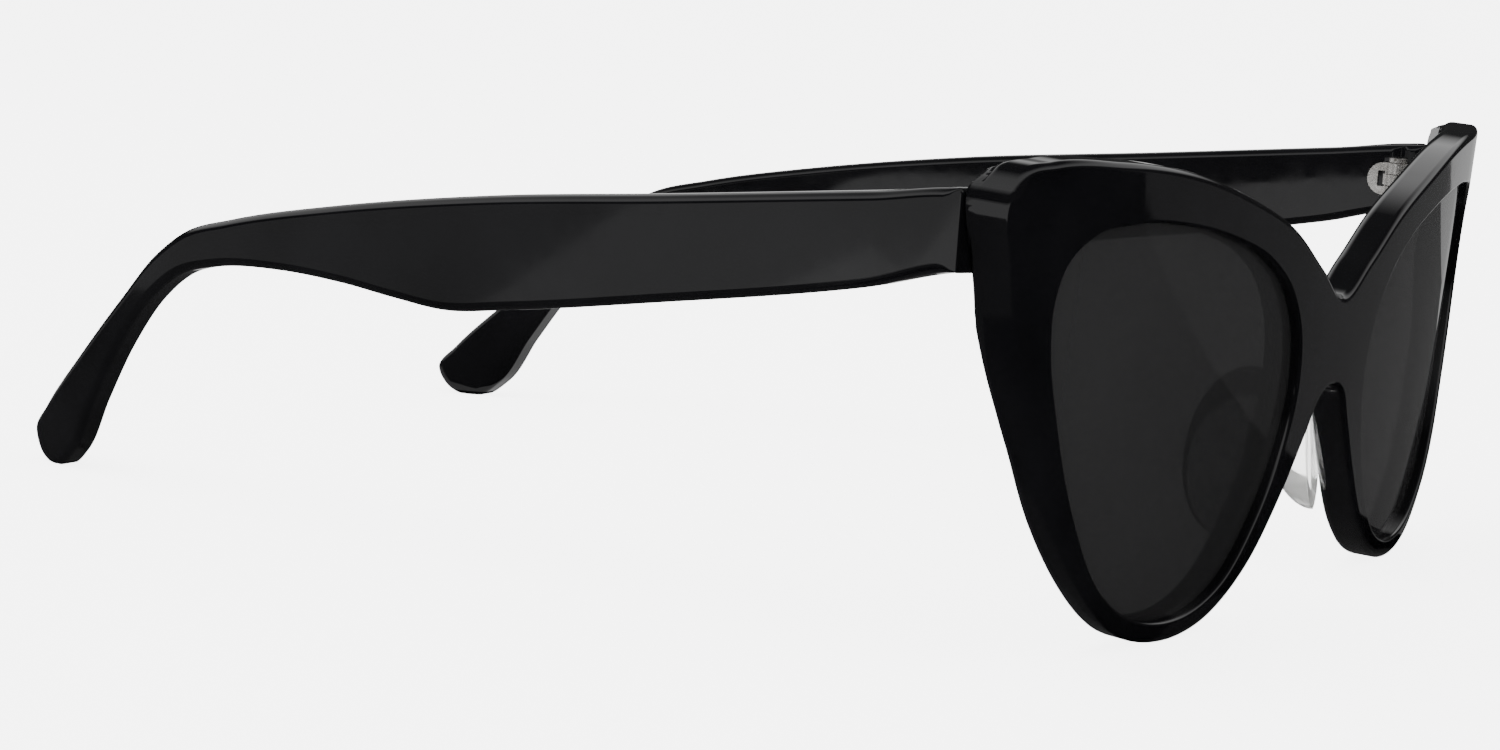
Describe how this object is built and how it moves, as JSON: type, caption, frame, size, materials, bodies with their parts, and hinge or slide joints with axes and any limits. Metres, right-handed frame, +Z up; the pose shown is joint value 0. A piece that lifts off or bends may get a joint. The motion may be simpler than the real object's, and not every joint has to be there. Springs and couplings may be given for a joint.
{
  "type": "cat eye sunglasses",
  "caption": "Cat eye sunglasses with a glossy black acetate front, dark grey lenses, clear nose pads and hinged temples with drop ends.",
  "frame": {"origin": "on the surface the sunglasses stand on, midway across and midway between the bridge's front and the temple tips", "axes": "+X to the wearer's left, -Y the way the wearer looks, +Z up; the sunglasses stand open on both rims and both temple tips"},
  "size_m": [0.1344, 0.1501, 0.0517],
  "materials": {
    "acetate": "polished",
    "lens": "polished, dark grey tint",
    "pad": "clear, polished",
    "metal": "polished"
  },
  "bodies": {
    "front": {"front_frame": "acetate", "lens_left": "lens", "lens_right": "lens", "nose_pad_left": "pad", "nose_pad_right": "pad", "front_hinge_left": "metal", "front_hinge_right": "metal", "hinge_screw_left": "metal", "hinge_screw_right": "metal"},
    "left_temple": {"temple_left": "acetate", "temple_hinge_left": "metal", "temple_core_wire_left": "metal"},
    "right_temple": {"temple_right": "acetate", "temple_hinge_right": "metal", "temple_core_wire_right": "metal"}
  },
  "joints": [
    {"name": "left_hinge", "type": "hinge", "parent": "front", "child": "left_temple", "pos_m": [0.06122, -0.05818, 0.04335], "axis": [0, 0, 1], "range_deg": [0, 72]},
    {"name": "right_hinge", "type": "hinge", "parent": "front", "child": "right_temple", "pos_m": [-0.06122, -0.05818, 0.04335], "axis": [0, 0, -1], "range_deg": [0, 84]}
  ]
}
